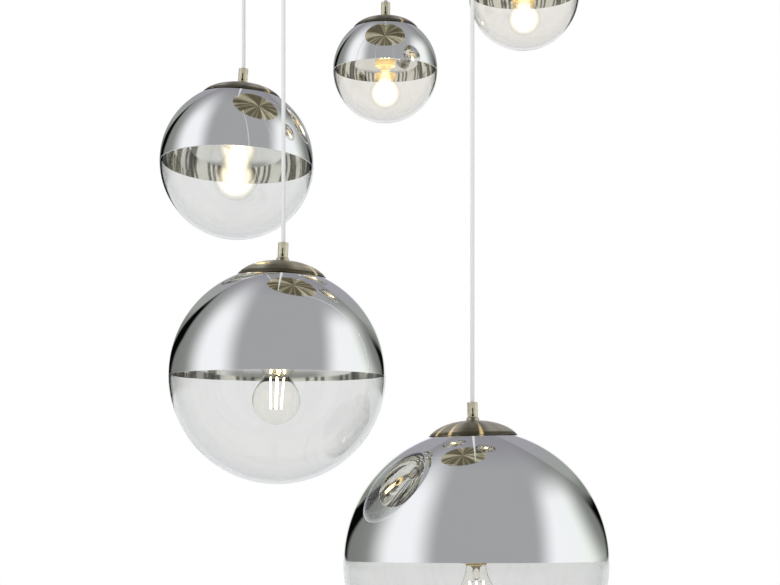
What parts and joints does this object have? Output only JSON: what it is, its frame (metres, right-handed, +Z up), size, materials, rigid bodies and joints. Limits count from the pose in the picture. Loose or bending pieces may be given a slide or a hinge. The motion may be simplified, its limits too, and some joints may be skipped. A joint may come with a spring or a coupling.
{
  "type": "bubble chandelier",
  "caption": "Ceiling chandelier with half-mirrored glass globes of several sizes, each on its own thin white cord under a round canopy",
  "frame": {"origin": "middle of the top of the mounting bracket, where it meets the ceiling", "axes": "+Z up, +X to the right and -Y towards the viewer of the picture"},
  "size_m": [0.5905, 0.6014, 1.1999],
  "materials": {
    "matt_nickel": "satin",
    "zinc_steel": "zinc plated",
    "white_plastic": "matt",
    "ivory_plastic": "matt",
    "mirrored_glass": "upper half metallised as a mirror, lower half clear",
    "clear_glass": "clear",
    "brass": "plain",
    "lit_filament": "glowing"
  },
  "bodies": {
    "canopy": {"canopy": "matt_nickel", "mounting_bracket": "zinc_steel", "cap_nut_left": "matt_nickel", "cap_nut_right": "matt_nickel", "terminal_block": "white_plastic", "rear_cord_gland": "white_plastic", "medium_cord_gland": "white_plastic", "large_cord_gland": "white_plastic", "largest_cord_gland": "white_plastic", "right_cord_gland": "white_plastic"},
    "rear_hang": {"rear_cord": "white_plastic"},
    "rear_shade": {"rear_cord_grip": "matt_nickel", "rear_cap": "matt_nickel", "rear_threaded_tube": "zinc_steel", "rear_globe_clip": "zinc_steel", "rear_lampholder": "ivory_plastic"},
    "rear_glass": {"rear_globe": "mirrored_glass"},
    "rear_lamp": {"rear_bulb_base": "brass", "rear_bulb_glass": "clear_glass", "rear_bulb_filament": "lit_filament"},
    "medium_hang": {"medium_cord": "white_plastic"},
    "medium_shade": {"medium_cord_grip": "matt_nickel", "medium_cap": "matt_nickel", "medium_threaded_tube": "zinc_steel", "medium_globe_clip": "zinc_steel", "medium_lampholder": "ivory_plastic"},
    "medium_glass": {"medium_globe": "mirrored_glass"},
    "medium_lamp": {"medium_bulb_base": "brass", "medium_bulb_glass": "clear_glass", "medium_bulb_filament": "lit_filament"},
    "large_hang": {"large_cord": "white_plastic"},
    "large_shade": {"large_cord_grip": "matt_nickel", "large_cap": "matt_nickel", "large_threaded_tube": "zinc_steel", "large_globe_clip": "zinc_steel", "large_lampholder": "ivory_plastic"},
    "large_glass": {"large_globe": "mirrored_glass"},
    "large_lamp": {"large_bulb_base": "brass", "large_bulb_glass": "clear_glass", "large_bulb_filament": "lit_filament"},
    "largest_hang": {"largest_cord": "white_plastic"},
    "largest_shade": {"largest_cord_grip": "matt_nickel", "largest_cap": "matt_nickel", "largest_threaded_tube": "zinc_steel", "largest_globe_clip": "zinc_steel", "largest_lampholder": "ivory_plastic"},
    "largest_glass": {"largest_globe": "mirrored_glass"},
    "largest_lamp": {"largest_bulb_base": "brass", "largest_bulb_glass": "clear_glass", "largest_bulb_filament": "lit_filament"},
    "right_hang": {"right_cord": "white_plastic"},
    "right_shade": {"right_cord_grip": "matt_nickel", "right_cap": "matt_nickel", "right_threaded_tube": "zinc_steel", "right_globe_clip": "zinc_steel", "right_lampholder": "ivory_plastic"},
    "right_glass": {"right_globe": "mirrored_glass"},
    "right_lamp": {"right_bulb_base": "brass", "right_bulb_glass": "clear_glass", "right_bulb_filament": "lit_filament"}
  },
  "joints": [
    {"name": "rear_swing", "type": "hinge", "parent": "canopy", "child": "rear_hang", "pos_m": [0, 0.2, -0.044], "axis": [1, 0, 0], "range_deg": [-10, 10]},
    {"name": "rear_tip", "type": "hinge", "parent": "rear_hang", "child": "rear_shade", "pos_m": [0, 0.2, -0.246], "axis": [0, 1, 0], "range_deg": [-8, 8]},
    {"name": "rear_globe_slide", "type": "slide", "parent": "rear_shade", "child": "rear_glass", "axis": [-0.0052, 0, -1], "range_m": [0, 0.025]},
    {"name": "rear_bulb_turn", "type": "hinge", "parent": "rear_shade", "child": "rear_lamp", "pos_m": [-0.00051, 0.2, -0.34297], "axis": [-0.0052, 0, -1], "range_deg": [0, 900]},
    {"name": "medium_swing", "type": "hinge", "parent": "canopy", "child": "medium_hang", "pos_m": [-0.19021, 0.0618, -0.044], "axis": [1, 0, 0], "range_deg": [-10, 10]},
    {"name": "medium_tip", "type": "hinge", "parent": "medium_hang", "child": "medium_shade", "pos_m": [-0.19021, 0.0618, -0.371], "axis": [0, 1, 0], "range_deg": [-8, 8]},
    {"name": "medium_globe_slide", "type": "slide", "parent": "medium_shade", "child": "medium_glass", "axis": [-0.0715, 0, -0.9974], "range_m": [0, 0.025]},
    {"name": "medium_bulb_turn", "type": "hinge", "parent": "medium_shade", "child": "medium_lamp", "pos_m": [-0.19937, 0.0618, -0.49878], "axis": [-0.0715, 0, -0.9974], "range_deg": [0, 900]},
    {"name": "large_swing", "type": "hinge", "parent": "canopy", "child": "large_hang", "pos_m": [-0.11756, -0.1618, -0.044], "axis": [1, 0, 0], "range_deg": [-10, 10]},
    {"name": "large_tip", "type": "hinge", "parent": "large_hang", "child": "large_shade", "pos_m": [-0.11756, -0.1618, -0.638], "axis": [0, 1, 0], "range_deg": [-8, 8]},
    {"name": "large_globe_slide", "type": "slide", "parent": "large_shade", "child": "large_glass", "axis": [-0.0454, 0, -0.999], "range_m": [0, 0.025]},
    {"name": "large_bulb_turn", "type": "hinge", "parent": "large_shade", "child": "large_lamp", "pos_m": [-0.12508, -0.1618, -0.80366], "axis": [-0.0454, 0, -0.999], "range_deg": [0, 900]},
    {"name": "largest_swing", "type": "hinge", "parent": "canopy", "child": "largest_hang", "pos_m": [0.11756, -0.1618, -0.044], "axis": [1, 0, 0], "range_deg": [-10, 10]},
    {"name": "largest_tip", "type": "hinge", "parent": "largest_hang", "child": "largest_shade", "pos_m": [0.11756, -0.1618, -0.837], "axis": [0, 1, 0], "range_deg": [-8, 8]},
    {"name": "largest_globe_slide", "type": "slide", "parent": "largest_shade", "child": "largest_glass", "axis": [0.0227, 0, -0.9997], "range_m": [0, 0.025]},
    {"name": "largest_bulb_turn", "type": "hinge", "parent": "largest_shade", "child": "largest_lamp", "pos_m": [0.12205, -0.1618, -1.03496], "axis": [0.0227, 0, -0.9997], "range_deg": [0, 900]},
    {"name": "right_swing", "type": "hinge", "parent": "canopy", "child": "right_hang", "pos_m": [0.19021, 0.0618, -0.044], "axis": [1, 0, 0], "range_deg": [-10, 10]},
    {"name": "right_tip", "type": "hinge", "parent": "right_hang", "child": "right_shade", "pos_m": [0.19021, 0.0618, -0.175], "axis": [0, 1, 0], "range_deg": [-8, 8]},
    {"name": "right_globe_slide", "type": "slide", "parent": "right_shade", "child": "right_glass", "axis": [0.0157, 0, -0.9999], "range_m": [0, 0.025]},
    {"name": "right_bulb_turn", "type": "hinge", "parent": "right_shade", "child": "right_lamp", "pos_m": [0.19173, 0.0618, -0.27196], "axis": [0.0157, 0, -0.9999], "range_deg": [0, 900]}
  ]
}
